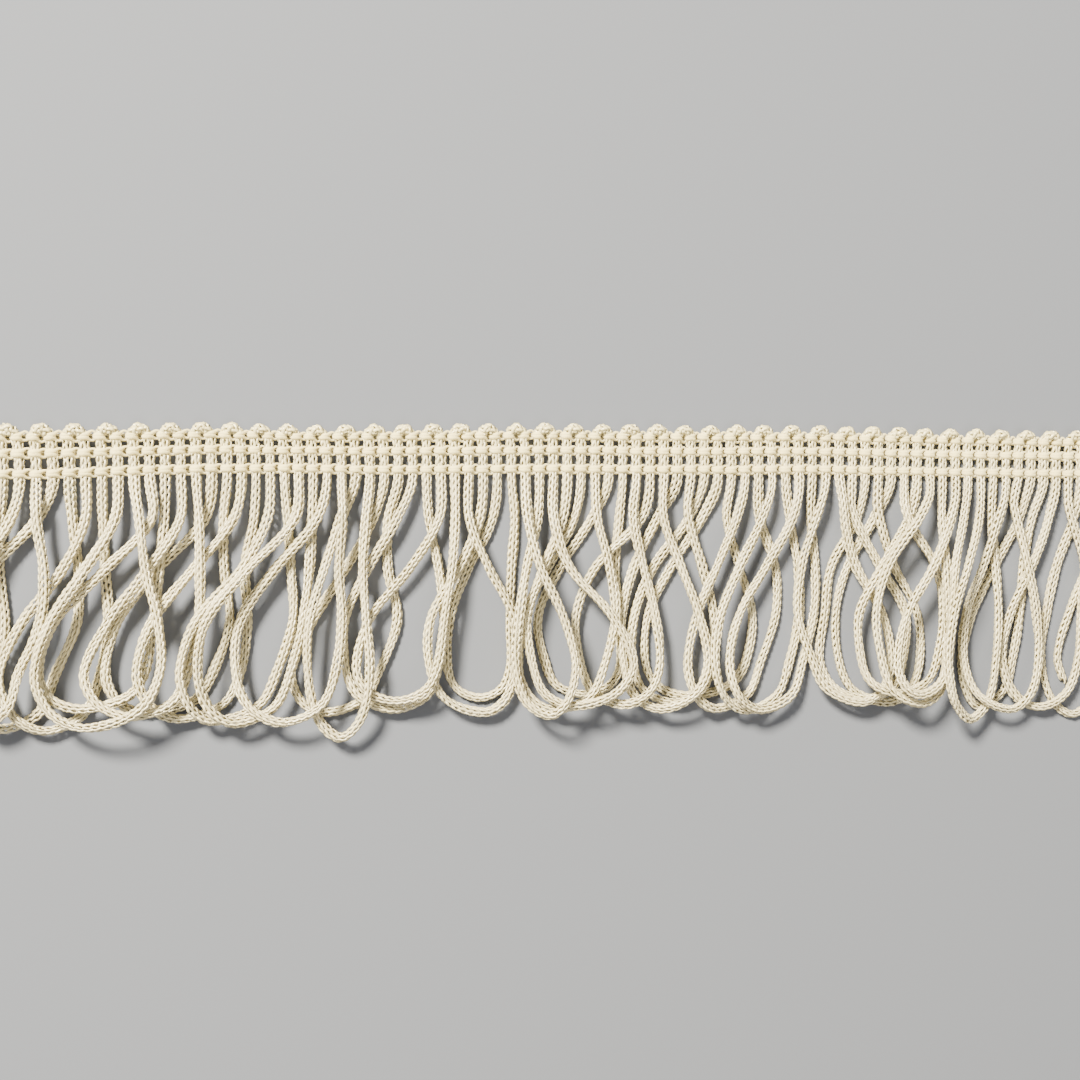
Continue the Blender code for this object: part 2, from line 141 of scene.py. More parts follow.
# Settling of the heap of cords
SETTLE_ROUNDS = 500
PUSHES_PER_ROUND = 2
SAMPLES_PER_STRETCH = 5
OWN_RINGS_APART = 6        # nearer parts of one cord don't lie over each other
OVER_STEP = 1000           # makes the order of the table outweigh that of the loops
STIFFNESS = 0.22
WEIGHT_STEP = 0.02
LIFT_SHARE = 0.6           # of the height that is lacking between two cords
DROP_SHARE = 0.35

# One picot with the run on each side of it: share of half the space between the
# runs, place up the heading, share of the picot's lean
PICOT_SHAPE = ((-1.0, FRINGE_ROW_BOTTOM, 0.0), (-1.0, 1.3, 0.0), (-1.0, 4.9, 0.35),
               (-0.97, 6.7, 0.7), (-0.78, 7.65, 0.9), (0.0, 8.42, 1.0),
               (0.78, 7.65, 0.9), (0.97, 6.7, 0.7), (1.0, 4.9, 0.35), (1.0, 1.3, 0.0),
               (1.0, FRINGE_ROW_BOTTOM, 0.0))
RUN_RISE = 0.35            # of the runs in the heading over the roots of the loops
PRESSED_DOWN = 0.60        # by each chain row
PRESSED_REACH = 0.9
PICOT_RISE = 0.70
PICOT_RISE_FROM = 6.9
PICOT_RISE_OVER = 1.1

# The heading doesn't lie quite straight: (place along it, rise)
HEADING_SWAY = ((0, -0.60), (28, -0.30), (46, 0.20), (63, 0.05), (80, -0.05), (97, 0.10),
                (115, 0.33), (132, 0.15), (150, 0.10), (167, 0.30), (185, 0.0),
                (202, -0.27), (219, -0.50), (238, -0.60))
# It is pulled taller at its left end and is shorter near 63:
# (place along it, rise of the lowest row, rise of the picots)
HEADING_PULL = ((0, -0.65, 0.0), (14, -0.60, 0.0), (32, -0.10, 0.0), (50, 0.05, -0.15),
                (63, 0.28, -0.50), (76, 0.05, -0.15), (90, 0.0, 0.0))
SWAY_REACH = 9.0           # up the heading, and down the loops to where the sway ends

# Sideways lean of the picot bumps along the heading: (run, lean)
PICOT_LEAN = ((-2, -0.9), (6, -0.5), (12, -0.4), (20, -0.8), (29, -0.1), (33, -0.6),
              (41, 0.2), (46, 0.0), (52, -0.55), (58, 0.2), (79, 0.25))

# Blending of the cord's bends, sideways and in height
FLAT_BLEND = 0.35
HEIGHT_BLEND = 1.1
BLEND_REACH = 3            # in blends, to either side

# Knit of the chainette: a flattened tube of three wales of one yarn
WALES = 3
COURSE = 1.55              # length of cord that one round of stitches takes
TUBE_HALF_WIDTH = 0.82     # to the middle of the yarn
TUBE_HALF_THICK = 0.36
TUBE_SQUARENESS = 2.5      # 2 gives a plain ellipse
TUBE_OUTLINE_POINTS = 361
STITCH_BULGE = 1.30        # sideways swing of the yarn within a stitch
STITCH_REACH = 1.03        # half the length of a stitch along the cord
STITCH_DEPTH = 0.12        # legs stand out and heads sink in by this
YARN_RADIUS = 0.2835
STEPS_PER_STITCH = 12
YARN_SIDES = 3
CORD_LIFT = 0.18           # the knit is thicker than the plain solid cord
ROUTE_STEP = 0.25
LOOP_GROUPS = 4

# How the knit changes over the picots, from CREST_FROM up the heading
CREST_FROM = 7.0
CREST_OVER = 0.8
CREST_SHORTER = 0.30
CREST_MORE_BULGE = 0.8
CREST_FULLER = 0.45

# How it changes down the loops, to LOOP_DEPTH below the heading
LOOP_DEPTH = 45
LOOP_NARROWER = 0.10
LOOP_THINNER_YARN = 0.05
LOOP_MORE_ROLL = 0.4

# Width of the knit as a share of the tube's. A narrow place is a thick one.
KNIT_WIDTH = 0.92
LEFT_WIDER = 0.08
LEFT_REACH = 60
THICK_AT_NO_WIDTH = 1.50
THICK_PER_WIDTH = 0.55

# Slow unevenness along the cord: (amount, spans of its waves, seed)
STITCH_LENGTH_WAVES = (0.07, (3.1, 4.7, 7.9), 3)
TWIST_WAVES = (0.12, (61.0, 83.0, 140.0), 5)
LOOP_TWIST_WAVES = (0.14, (27.0, 41.0, 66.0), 15)
WIDTH_WAVES = (0.18, (9.0, 23.0, 57.0), 7)
ROLL_WAVES = (0.42, (37.0, 71.0, 110.0), 9)
ROLL_IN_HEADING = 0.8
YARN_WAVES = (0.11, (4.3, 11.0, 31.0), 13)

# Half of a chain link, from its base to its head: part of a run's spacing
# along the row, then millimetres across it, height and yarn radius
LINK_HALF = (
    (0.04, 0.00, 0.68, 0.24),
    (0.11, 0.12, 1.00, 0.31),
    (0.20, 0.19, 1.36, 0.47),
    (0.33, 0.21, 1.70, 0.60),
    (0.50, 0.21, 1.77, 0.62),
    (0.67, 0.27, 1.68, 0.56),
    (0.80, 0.57, 1.44, 0.35),
    (0.93, 0.80, 1.26, 0.26),
    (1.06, 0.82, 1.14, 0.25),
    (1.20, 0.56, 0.98, 0.27),
    (1.28, 0.00, 0.90, 0.28),
)
LINK_STEPS = 30
LINK_SIDES = 7
LINK_SQUASH = 0.92
LINK_CORE_HEIGHT = 0.4     # the outer side of a link's yarn faces away from here
LINK_SEED = 21

# A link's base lies off its row by BASE_LEAN. Base and head: (place along it, reach)
BASE_LEAN = 0.12
BASE_SPOT = (0.06, 0.16)
HEAD_SPOT = (1.02, 0.20)
ROW_LEAN = (0.0, 0.35, 0.70)          # share of the picots' lean that each row takes
TOP_ROW_SAG = (-0.16, 0.12)           # of the heads of even and of odd runs

# Unevenness from link to link
LEAN_UNEVEN = 0.05
LENGTH_UNEVEN = 0.02
WIDTH_UNEVEN = 0.06
SAG_UNEVEN = 0.05
PLACE_UNEVEN = 0.04
HEIGHT_UNEVEN = 0.04
RADIUS_UNEVEN = 0.05

# Yarns laid in behind each chain row
BACK_YARN_RADIUS = 0.30
BACK_YARN_PLACES = (-0.42, 0.38)
BACK_YARN_HEIGHT = 0.48
BACK_YARN_DIP = 0.12
BACK_YARN_SWAY = 0.10
BACK_YARN_PAST_RUNS = 1.6
BACK_YARN_STEPS = 330

# Layout of a mesh's faces side by side, as parts of a row
SHEET_WIDE_PER_TALL = 3.5
SHEET_MARGIN = 0.04
SHEET_FILL = 0.92

# Colours
CORD_SHADE = (0.48, 0.41, 0.24)
CORD_PALE = (0.90, 0.82, 0.54)
# painted shade inside the cord's tube, seen through the gaps between stitches
CORD_PAINTED_GAP_SHADE = (0.36, 0.33, 0.28)
PICOT_CREAM = (0.77, 0.68, 0.37)
CHAIN_SHADE = (0.69, 0.585, 0.26)
CHAIN_PALE = (0.92, 0.805, 0.42)
# painted shade on the inner side of the chain links' yarn
CHAIN_PAINTED_INNER_SHADE = (0.32, 0.31, 0.25)
# painted shade on the chain yarn close to the floor
CHAIN_PAINTED_LOW_SHADE = (0.42, 0.39, 0.30)
FLOOR_GREY = (0.145, 0.158, 0.196, 1.0)
WARM_WHITE = (1.0, 0.910, 0.70)
ROOM_WHITE = (1.0, 0.965, 0.91, 1.0)
ROOM_STRENGTH = 0.42

# Where the colours change, in metres of the finished trim: up it, and off the floor
PICOT_CREAM_SPAN = (0.0215, 0.0305)
# the painted shade of the chain yarn near the floor fades out over this span of heights
PAINTED_LOW_SHADE_SPAN = (0.0010, 0.0017)
INWARD_FALL = 3.0          # how fast a yarn's inner shade fades to its sides

# Photo's camera: where it looks, how far from there it is, and its lens
CAMERA_AIM = (111.92, -14.33, 2.2)
CAMERA_DISTANCE = 265.9
CAMERA_TURN = 7.784        # degrees to the right
CAMERA_ROLL = -0.2908
SENSOR_WIDTH = 36.0
LENS = 43.33
NEAREST = 10.0
FLOOR_SIZE = 4000.0


def run_x(run):
    """Sideways place at which a run of cord leaves the heading."""
    runs, places = zip(*RUN_SPACING)
    return float(np.interp(run, runs, places))


def true_place(seen, height):
    """Where a place seen from above lies, for a cord at this height."""
    nearer = (EYE_HEIGHT - np.asarray(height)) / (EYE_HEIGHT - SEEN_HEIGHT)
    return np.array(EYE) + (np.asarray(seen) - EYE) * nearer[..., None]


def seen_root(run):
    """Place at which a run is seen to leave the lowest chain row."""
    nearer = (EYE_HEIGHT - ROOT_Z) / (EYE_HEIGHT - SEEN_HEIGHT)
    return EYE[0] + (run_x(run) - EYE[0]) / nearer, FRINGE_ROW_BOTTOM


def foot_shoulder(leg, foot):
    """Point at 45 degrees on the quarter ellipse from a leg down to a foot."""
    return (leg[0] + (foot[0] - leg[0]) * (1 - np.sqrt(0.5)),
            leg[1] + (foot[1] - leg[1]) * np.sqrt(0.5))


def smooth_way(points, start_dir, end_dir, steps=16):
    """Curve through points, as a dense list, leaving and arriving as given."""
    points = np.array(points)
    spans = np.linalg.norm(np.diff(points, axis=0), axis=1)
    times = np.concatenate(([0.0], np.cumsum(spans)))
    slopes = np.empty_like(points)
    slopes[1:-1] = (points[2:] - points[:-2]) / (times[2:] - times[:-2])[:, None]
    slopes[0] = start_dir
    slopes[-1] = end_dir if end_dir is not None else slopes[-2]
    way = []
    for i, span in enumerate(spans):
        for t in np.linspace(0, 1, steps, endpoint=False):
            way.append((2 * t**3 - 3 * t**2 + 1) * points[i]
                       + (t**3 - 2 * t**2 + t) * span * slopes[i]
                       + (3 * t**2 - 2 * t**3) * points[i + 1]
                       + (t**3 - t**2) * span * slopes[i + 1])
    way.append(points[-1])
    return np.array(way)


def ring_count(way, count):
    """How many cross-sections each point of a way is on, closer together in bends."""
    steps = np.diff(way, axis=0)
    lengths = np.linalg.norm(steps, axis=1)
    headings = np.unwrap(np.arctan2(steps[:, 1], steps[:, 0]))
    turns = np.concatenate(([0.0], np.abs(np.diff(headings))))
    measure = np.concatenate(([0.0], np.cumsum(lengths + TURN_WEIGHT * turns)))
    return measure / measure[-1] * (count + 1)


def take_rings(strand):
    """Set the places of a strand's cross-sections from its way."""
    rings = np.arange(round(strand["passed"][-1]) + 1)
    strand["places"] = np.column_stack(
        [np.interp(rings, strand["passed"], strand["way"][:, k]) for k in (0, 1)])


def loop_way(index):
    """Flat route of one loop, from its left root to its right root."""
    row = dict(zip(LOOP_COLUMNS, LOOPS[index]))
    foot = (row["foot_x"], row["foot_y"])
    left = [(row[name], y) for name, y in zip(("a10", "a20", "a30", "a40"), LEG_HEIGHTS)]
    right = [(row[name], y) for name, y in zip(("b10", "b20", "b30", "b40"), LEG_HEIGHTS)]
    run = FIRST_RUN + 1 + 2 * index
    points = [seen_root(run), *left, foot_shoulder(left[-1], foot), foot,
              foot_shoulder(right[-1], foot), *reversed(right), seen_root(run + 1)]
    return smooth_way(points, (0, -1), (0, 1)), row["over"]


def tail_way(values):
    """Flat route of an end run that is cut off."""
    row = dict(zip(TAIL_COLUMNS, values))
    leg = [(row[name], y) for name, y in zip(("t10", "t20", "t30", "t40"), LEG_HEIGHTS)]
    points = [seen_root(row["run"]), *leg, (row["end_x"], row["end_y"])]
    return smooth_way(points, (0, -1), None), row["over"]


def lay_out():
    """Flat way of every strand as it is seen, and what it lies over."""
    strands = []
    for index in range(len(LOOPS)):
        way, over = loop_way(index)
        strands.append({"way": way, "passed": ring_count(way, RINGS_PER_LOOP),
                        "over": over, "loop": index, "tail": False})
    for tail_index, values in enumerate(TAILS):
        way, over = tail_way(values)
        strands.append({"way": way, "passed": ring_count(way, RINGS_PER_TAIL),
                        "over": over, "loop": len(LOOPS) + tail_index, "tail": True})
    return strands


def ring_heights(strand):
    """Settled height at each point of a strand's way."""
    return np.interp(strand["passed"], np.arange(len(strand["heights"])), strand["heights"])


def lay_down():
    """Every strand at its true place and height, settled on those below."""
    strands = lay_out()
    for strand in strands:
        take_rings(strand)
    settle(strands)
    for strand in strands:
        strand["way"] = true_place(strand["way"], ring_heights(strand))
        take_rings(strand)
    settle(strands)
    return strands


def crossing_pairs(strands):
    """Which samples lie over each other, and the cross-section and share of each sample."""
    fractions = (np.arange(SAMPLES_PER_STRETCH) + 0.5) / SAMPLES_PER_STRETCH
    spots, order, owner, along, first, share = [], [], [], [], [], []
    base = 0
    for number, strand in enumerate(strands):
        places = strand["places"]
        for i in range(len(places) - 1):
            for f in fractions:
                spots.append(places[i] * (1 - f) + places[i + 1] * f)
                order.append(strand["over"] * OVER_STEP + strand["loop"])
                owner.append(number)
                along.append(i + f)
                first.append(base + i)
                share.append(f)
        base += len(places)
    spots, order = np.array(spots), np.array(order)
    owner, along = np.array(owner), np.array(along)
    gaps = np.linalg.norm(spots[:, None, :] - spots[None, :, :], axis=2)
    own_gaps = np.abs(along[:, None] - along[None, :])
    apart = (owner[:, None] != owner[None, :]) | (own_gaps > OWN_RINGS_APART)
    rank = order - along / OVER_STEP
    above = rank[:, None] > rank[None, :]
    upper, lower = np.nonzero((gaps < SIDE_BY_SIDE) & apart & above)
    return upper, lower, np.array(first), np.array(share)


def settle(strands):
    """Height of every cross-section once the cords rest on what is below."""
    upper, lower, first, share = crossing_pairs(strands)
    counts = [len(strand["places"]) for strand in strands]
    starts = np.concatenate(([0], np.cumsum(counts)))
    fixed = np.zeros(starts[-1], dtype=bool)
    ends = np.zeros(starts[-1], dtype=bool)
    for number, strand in enumerate(strands):
        fixed[starts[number]] = True
        ends[starts[number + 1] - 1] = True
        if not strand["tail"]:
            fixed[starts[number + 1] - 1] = True
    floor = CORD_THICK / 2
    height = np.full(starts[-1], floor)
    height[fixed] = ROOT_Z
    inner = ~fixed & ~ends
    inner_at = np.nonzero(inner)[0]
    for turn in range(SETTLE_ROUNDS):
        ease = 1.0 - turn / SETTLE_ROUNDS
        middle = (height[inner_at - 1] + height[inner_at + 1]) / 2
        height[inner_at] += STIFFNESS * ease * (middle - height[inner_at])
        height[~fixed] -= WEIGHT_STEP * ease
        for _ in range(PUSHES_PER_ROUND):
            sample = height[first] * (1 - share) + height[first + 1] * share
            short = LAYER_STEP - (sample[upper] - sample[lower])
            lack = short > 0
            push = short[lack]
            up, down = upper[lack], lower[lack]
            lift = np.zeros_like(height)
            drop = np.zeros_like(height)
            for end_of in (0, 1):
                np.maximum.at(lift, first[up] + end_of, push)
                np.maximum.at(drop, first[down] + end_of, push * ease)
            height += np.where(fixed, 0, LIFT_SHARE * lift - DROP_SHARE * drop)
            height = np.where(fixed, height, np.maximum(height, floor))
    for number, strand in enumerate(strands):
        strand["heights"] = height[starts[number]:starts[number + 1]].copy()


def hanging_route(strand):
    """Points of a settled loop or tail, from its first root on."""
    return np.column_stack((strand["way"], ring_heights(strand) + CORD_LIFT))


def near(values, spot, reach):
    """1 at a spot, falling off to both sides of it."""
    return np.exp(-((values - spot) / reach) ** 2)


def lean_of(run):
    """Sideways lean of the heading's upper edge at a run."""
    runs, leans = zip(*PICOT_LEAN)
    return float(np.interp(run, runs, leans))


def picot_route(run):
    """Points of one run up through the heading, over a bump and down the next."""
    left, right = run_x(run), run_x(run + 1)
    middle, half = (left + right) / 2, (right - left) / 2
    lean = lean_of(run)
    points = [(middle + part * half + share * lean, y) for part, y, share in PICOT_SHAPE]
    way = smooth_way(points, (0, 1), (0, -1))
    heights = np.full(len(way), ROOT_Z + RUN_RISE)
    for row in CHAIN_ROWS:
        heights -= PRESSED_DOWN * near(way[:, 1], row, PRESSED_REACH)
    heights += PICOT_RISE * np.clip((way[:, 1] - PICOT_RISE_FROM) / PICOT_RISE_OVER, 0, 1)
    return np.column_stack((way, heights))


def eased(values, sigma):
    """Values along the cord, each blended with its neighbours."""
    reach = int(BLEND_REACH * sigma / ROUTE_STEP)
    weights = np.exp(-0.5 * (np.arange(-reach, reach + 1) * ROUTE_STEP / sigma) ** 2)
    padded = np.concatenate((np.repeat(values[:1], reach), values, np.repeat(values[-1:], reach)))
    return np.convolve(padded, weights / weights.sum(), mode="valid")


def cord_route():
    """The whole cord at even steps: points, and which stretches hang below."""
    strands = lay_down()
    stretches = [(hanging_route(strands[len(LOOPS)])[::-1], True)]
    for index in range(len(LOOPS) + 1):
        stretches.append((picot_route(FIRST_RUN + 2 * index), False))
        if index < len(LOOPS):
            stretches.append((hanging_route(strands[index]), True))
    stretches.append((hanging_route(strands[-1]), True))
    points = [stretches[0][0][:1]]
    hangs = [np.array([1.0])]
    for stretch, is_hanging in stretches:
        points.append(stretch[1:])
        hangs.append(np.full(len(stretch) - 1, float(is_hanging)))
    points, hangs = np.concatenate(points), np.concatenate(hangs)
    lengths = np.linalg.norm(np.diff(points, axis=0), axis=1)
    along = np.concatenate(([0.0], np.cumsum(lengths)))
    steps = np.arange(0, along[-1], ROUTE_STEP)
    route = np.column_stack([np.interp(steps, along, points[:, k]) for k in range(3)])
    route = np.column_stack((eased(route[:, 0], FLAT_BLEND), eased(route[:, 1], FLAT_BLEND),
                             eased(route[:, 2], HEIGHT_BLEND)))
    return route, np.interp(steps, along, hangs) > 0.5


def wander(along, waves):
    """Slow unevenness to either side of 0 along the cord."""
    amount, spans, seed = waves
    chance = np.random.default_rng(seed)
    total = np.zeros(len(along))
    for span in spans:
        total += np.sin(2 * np.pi * (along / span + chance.random()))
    return amount * (total / len(spans))


def on_crest(level):
    """0 up to the upper chain row, 1 on the picots."""
    return np.clip((level - CREST_FROM) / CREST_OVER, 0, 1)


def down_loop(level):
    """0 in the heading, 1 at the foot of the loops."""
    return np.clip(-level / LOOP_DEPTH, 0, 1)


def read_between(rows, at):
    """Values of a table at places between its rows."""
    spots = np.arange(len(rows))
    return np.column_stack([np.interp(at, spots, column) for column in rows.T])


def tube_outline():
    """Flattened tube as (share of the way round, sideways, up, outward x, outward y)."""
    turn = np.linspace(0, 2 * np.pi, TUBE_OUTLINE_POINTS)
    power = 2 / TUBE_SQUARENESS
    side = TUBE_HALF_WIDTH * np.sign(np.cos(turn)) * np.abs(np.cos(turn)) ** power
    rise = TUBE_HALF_THICK * np.sign(np.sin(turn)) * np.abs(np.sin(turn)) ** power
    lengths = np.hypot(np.diff(side), np.diff(rise))
    share = np.concatenate(([0.0], np.cumsum(lengths))) / lengths.sum()
    out_x, out_y = np.cos(turn) / TUBE_HALF_WIDTH, np.sin(turn) / TUBE_HALF_THICK
    size = np.hypot(out_x, out_y)
    return share, side, rise, out_x / size, out_y / size


def cord_axes(route):
    """Sideways and upward directions square to the cord at each point."""
    ahead = np.gradient(route, axis=0)
    ahead /= np.linalg.norm(ahead, axis=1)[:, None]
    flat = np.column_stack((-ahead[:, 1], ahead[:, 0], np.zeros(len(route))))
    flat /= np.linalg.norm(flat, axis=1)[:, None]
    return flat, np.cross(ahead, flat)


def round_tube(number, base, place, level):
    """Yarn's sideways and upward place in the flattened tube, and its way outward."""
    turn = 2 * np.pi * (number % 1)
    depth = down_loop(level)
    bulge = STITCH_BULGE * (1 + CREST_MORE_BULGE * on_crest(level))
    where = (number + bulge * np.sin(2 * turn) / (2 * np.pi)) / WALES + wander(base, TWIST_WAVES)
    where = (where + depth * wander(base, LOOP_TWIST_WAVES)) % 1
    width = KNIT_WIDTH - LOOP_NARROWER * depth + wander(base, WIDTH_WAVES)
    width += LEFT_WIDER * np.clip(1 - place / LEFT_REACH, 0, 1)
    thick = THICK_AT_NO_WIDTH - THICK_PER_WIDTH * width
    deep = -STITCH_DEPTH * np.cos(2 * turn)
    share, side, rise, out_x, out_y = tube_outline()
    outward = np.interp(where, share, out_x), np.interp(where, share, out_y)
    across = np.interp(where, share, side) * width + deep * outward[0]
    up = np.interp(where, share, rise) * thick + deep * outward[1]
    return (across, up), outward


def rolled(amounts, roll, flat, upward):
    """Step in space for a sideways and an upward amount, once the cord has rolled."""
    across, up = amounts
    cos, sin = np.cos(roll), np.sin(roll)
    return (across * cos - up * sin)[:, None] * flat + (across * sin + up * cos)[:, None] * upward


def knit(route):
    """Middle of the knitted yarn, its way out of the tube, and its place along the cord."""
    length = (len(route) - 1) * ROUTE_STEP
    stitches = int((length - 2 * STITCH_REACH) * WALES / COURSE)
    number = np.arange(stitches * STEPS_PER_STITCH) / STEPS_PER_STITCH
    base = STITCH_REACH + number / WALES * COURSE
    place, level = read_between(route[:, :2], base / ROUTE_STEP).T
    loose = 1 + wander(base, STITCH_LENGTH_WAVES) - CREST_SHORTER * on_crest(level)
    along = base + STITCH_REACH * loose * np.cos(2 * np.pi * (number % 1))
    in_tube, outward = round_tube(number, base, place, level)
    roll = (ROLL_IN_HEADING + LOOP_MORE_ROLL * down_loop(level)) * wander(along, ROLL_WAVES)
    middle = read_between(route, along / ROUTE_STEP)
    flat, upward = [read_between(axis, along / ROUTE_STEP) for axis in cord_axes(route)]
    return (middle + rolled(in_tube, roll, flat, upward),
            rolled(outward, roll, flat, upward), base)


def ring_frames(points, outward, closed=False):
    """Two directions square to a yarn at each point, the first one outward."""
    if closed:
        ahead = np.roll(points, -1, axis=0) - np.roll(points, 1, axis=0)
    else:
        ahead = np.gradient(points, axis=0)
    ahead /= np.linalg.norm(ahead, axis=1)[:, None]
    first = outward - (outward * ahead).sum(axis=1)[:, None] * ahead
    first /= np.linalg.norm(first, axis=1)[:, None]
    return first, np.cross(ahead, first)


class YarnMesh:
    """Collects lengths of yarn and turns them into one mesh."""

    def __init__(self, sides):
        self.sides = sides
        self.rings = []
        self.quads = []
        self.lay = []
        self.count = 0

    def add(self, rings, closed=False):
        """rings holds one row of points for each cross-section of a yarn."""
        total = len(rings)
        start = np.arange(total if closed else total - 1)
        end = (start + 1) % total
        corner = np.arange(self.sides)
        after = (corner + 1) % self.sides
        quads = np.stack((start[:, None] * self.sides + corner, start[:, None] * self.sides + after,
                          end[:, None] * self.sides + after, end[:, None] * self.sides + corner),
                         axis=2)
        self.rings.append(rings.reshape(-1, 3))
        self.quads.append(quads.reshape(-1, 4) + self.count)
        middle = rings.mean(axis=1)
        gaps = np.linalg.norm(np.roll(middle, -1, axis=0) - middle, axis=1)
        travelled = np.concatenate(([0.0], np.cumsum(gaps)))
        u = np.stack((travelled[start], travelled[start], travelled[start + 1],
                      travelled[start + 1]), axis=1)
        v = np.stack((corner, corner + 1, corner + 1, corner), axis=1) / self.sides
        lay = np.empty((len(start), self.sides, 4, 2))
        lay[..., 0] = u[:, None, :]
        lay[..., 1] = v[None, :, :]
        self.lay.append(lay.reshape(-1, 2))
        self.count += total * self.sides

    def make(self, name, material):
        verts = np.concatenate(self.rings) * MM
        quads = np.concatenate(self.quads)
        mesh = bpy.data.meshes.new(name)
        mesh.vertices.add(len(verts))
        mesh.vertices.foreach_set("co", verts.astype(np.float32).ravel())
        mesh.loops.add(quads.size)
        mesh.loops.foreach_set("vertex_index", quads.astype(np.int32).ravel())
        mesh.polygons.add(len(quads))
        mesh.polygons.foreach_set("loop_start", np.arange(0, quads.size, 4, dtype=np.int32))
        mesh.polygons.foreach_set("use_smooth", np.ones(len(quads), dtype=bool))
        mesh.update(calc_edges=True)
        sheet = mesh.uv_layers.new(name="OFBake")
        sheet.data.foreach_set("uv", self.spread(len(quads)).astype(np.float32).ravel())
        along = mesh.uv_layers.new(name="yarn_lay")
        along.data.foreach_set("uv", np.concatenate(self.lay).astype(np.float32).ravel())
        mesh.materials.append(material)
        piece = bpy.data.objects.new(name, mesh)
        bpy.context.scene.collection.objects.link(piece)
        return piece

    def spread(self, quads):
        """Flat layout of all faces: the yarn cut into equal lengths side by side."""
        stretches = quads // self.sides
        rows = max(1, int(np.sqrt(stretches / SHEET_WIDE_PER_TALL)))
        columns = int(np.ceil(stretches / rows))
        number = np.arange(stretches)
        row, column = number // columns, number % columns
        corner = np.arange(self.sides)
        left, right = column / columns, (column + 1) / columns
        bottom = row[:, None] + SHEET_MARGIN
        low = (bottom + SHEET_FILL * corner / self.sides) / rows
        high = (bottom + SHEET_FILL * (corner + 1) / self.sides) / rows
        wide = np.ones(self.sides)
        left, right = left[:, None] * wide, right[:, None] * wide
        places = np.stack((left, low, left, high, right, high, right, low), axis=2)
        return places.reshape(-1, 2)


def yarn_rings(points, first, second, radius, sides, squash=1.0, turn=0.5):
    """Cross-sections of a yarn, with a flat side outward."""
    angles = 2 * np.pi * (np.arange(sides) + turn) / sides
    radius = np.broadcast_to(radius, (len(points),))[:, None, None]
    return (points[:, None, :]
            + radius * squash * np.cos(angles)[None, :, None] * first[:, None, :]
            + radius * np.sin(angles)[None, :, None] * second[:, None, :])


def to_world():
    """Shift from the trim's own measure to the frame's, in metres."""
    low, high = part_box("picot_heading")
    return Matrix.Translation(Vector((low.x - (run_x(FIRST_RUN) - END_MARGIN) * MM,
                                      high.y - PICOT_TOP * MM, 0)))


def sway(mesh):
    """Bend the heading and the tops of the loops out of a straight line."""
    spots = np.empty(len(mesh.vertices) * 3, dtype=np.float32)
    mesh.vertices.foreach_get("co", spots)
    spots = spots.reshape(-1, 3)
    along, level = spots[:, 0] / MM, spots[:, 1] / MM
    places, rises = zip(*HEADING_SWAY)
    rise = np.interp(along, places, rises)
    places, lowest, picots = zip(*HEADING_PULL)
    toward_picots = np.clip(level / SWAY_REACH, 0, 1)
    rise += np.interp(along, places, lowest) * (1 - toward_picots)
    rise += np.interp(along, places, picots) * toward_picots
    spots[:, 1] += rise * MM * np.clip((level + SWAY_REACH) / SWAY_REACH, 0, 1)
    mesh.vertices.foreach_set("co", spots.ravel())


def dress(piece, node):
    """Place a finished piece over the solid that it stands for."""
    sway(piece.data)
    piece.data.transform(to_world())
    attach(piece, "root")
    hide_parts(node)
    return piece


def cord_pieces(material):
    """The knitted cord: its runs and picots, and its loops in groups."""
    route, hangs = cord_route()
    points, outward, base = knit(route)
    first, second = ring_frames(points, outward)
    at, spots = base / ROUTE_STEP, np.arange(len(route))
    fullness = 1 + CREST_FULLER * np.interp(at, spots, on_crest(route[:, 1]))
    fullness -= LOOP_THINNER_YARN * np.interp(at, spots, down_loop(route[:, 1]))
    fullness += wander(base, YARN_WAVES)
    rings = yarn_rings(points, first, second, YARN_RADIUS * fullness, YARN_SIDES)
    hanging = hangs[at.astype(int)]
    edges = np.flatnonzero(np.diff(hanging.astype(int))) + 1
    bounds = [0, *edges, len(rings) - 1]
    heading = YarnMesh(YARN_SIDES)
    groups = [YarnMesh(YARN_SIDES) for _ in range(LOOP_GROUPS)]
    loops = [(start, end) for start, end in zip(bounds, bounds[1:]) if hanging[start]]
    for start, end in zip(bounds, bounds[1:]):
        if not hanging[start]:
            heading.add(rings[start:end + 1])
    for number, (start, end) in enumerate(loops):
        groups[number * LOOP_GROUPS // len(loops)].add(rings[start:end + 1])
    dress(heading.make("runs_and_picots", material), "picot_heading")
    for number, group in enumerate(groups):
        dress(group.make(f"cord_loops_{number + 1}", material), "loop_fringe")


def link_shape():
    """Closed centre line of one chain link: (along, across, height, radius) rows."""
    half = np.array(LINK_HALF)
    other = half[-2:0:-1] * (1, -1, 1, 1)
    whole = np.concatenate((half, other))
    count = len(whole)
    at = np.linspace(0, count, LINK_STEPS, endpoint=False)
    i = np.floor(at).astype(int)
    t = (at - i)[:, None]
    a, b, c, d = [whole[(i + k) % count] for k in (-1, 0, 1, 2)]
    return 0.5 * (2 * b + (c - a) * t + (2 * a - 5 * b + 4 * c - d) * t**2
                  + (3 * b - a - 3 * c + d) * t**3)


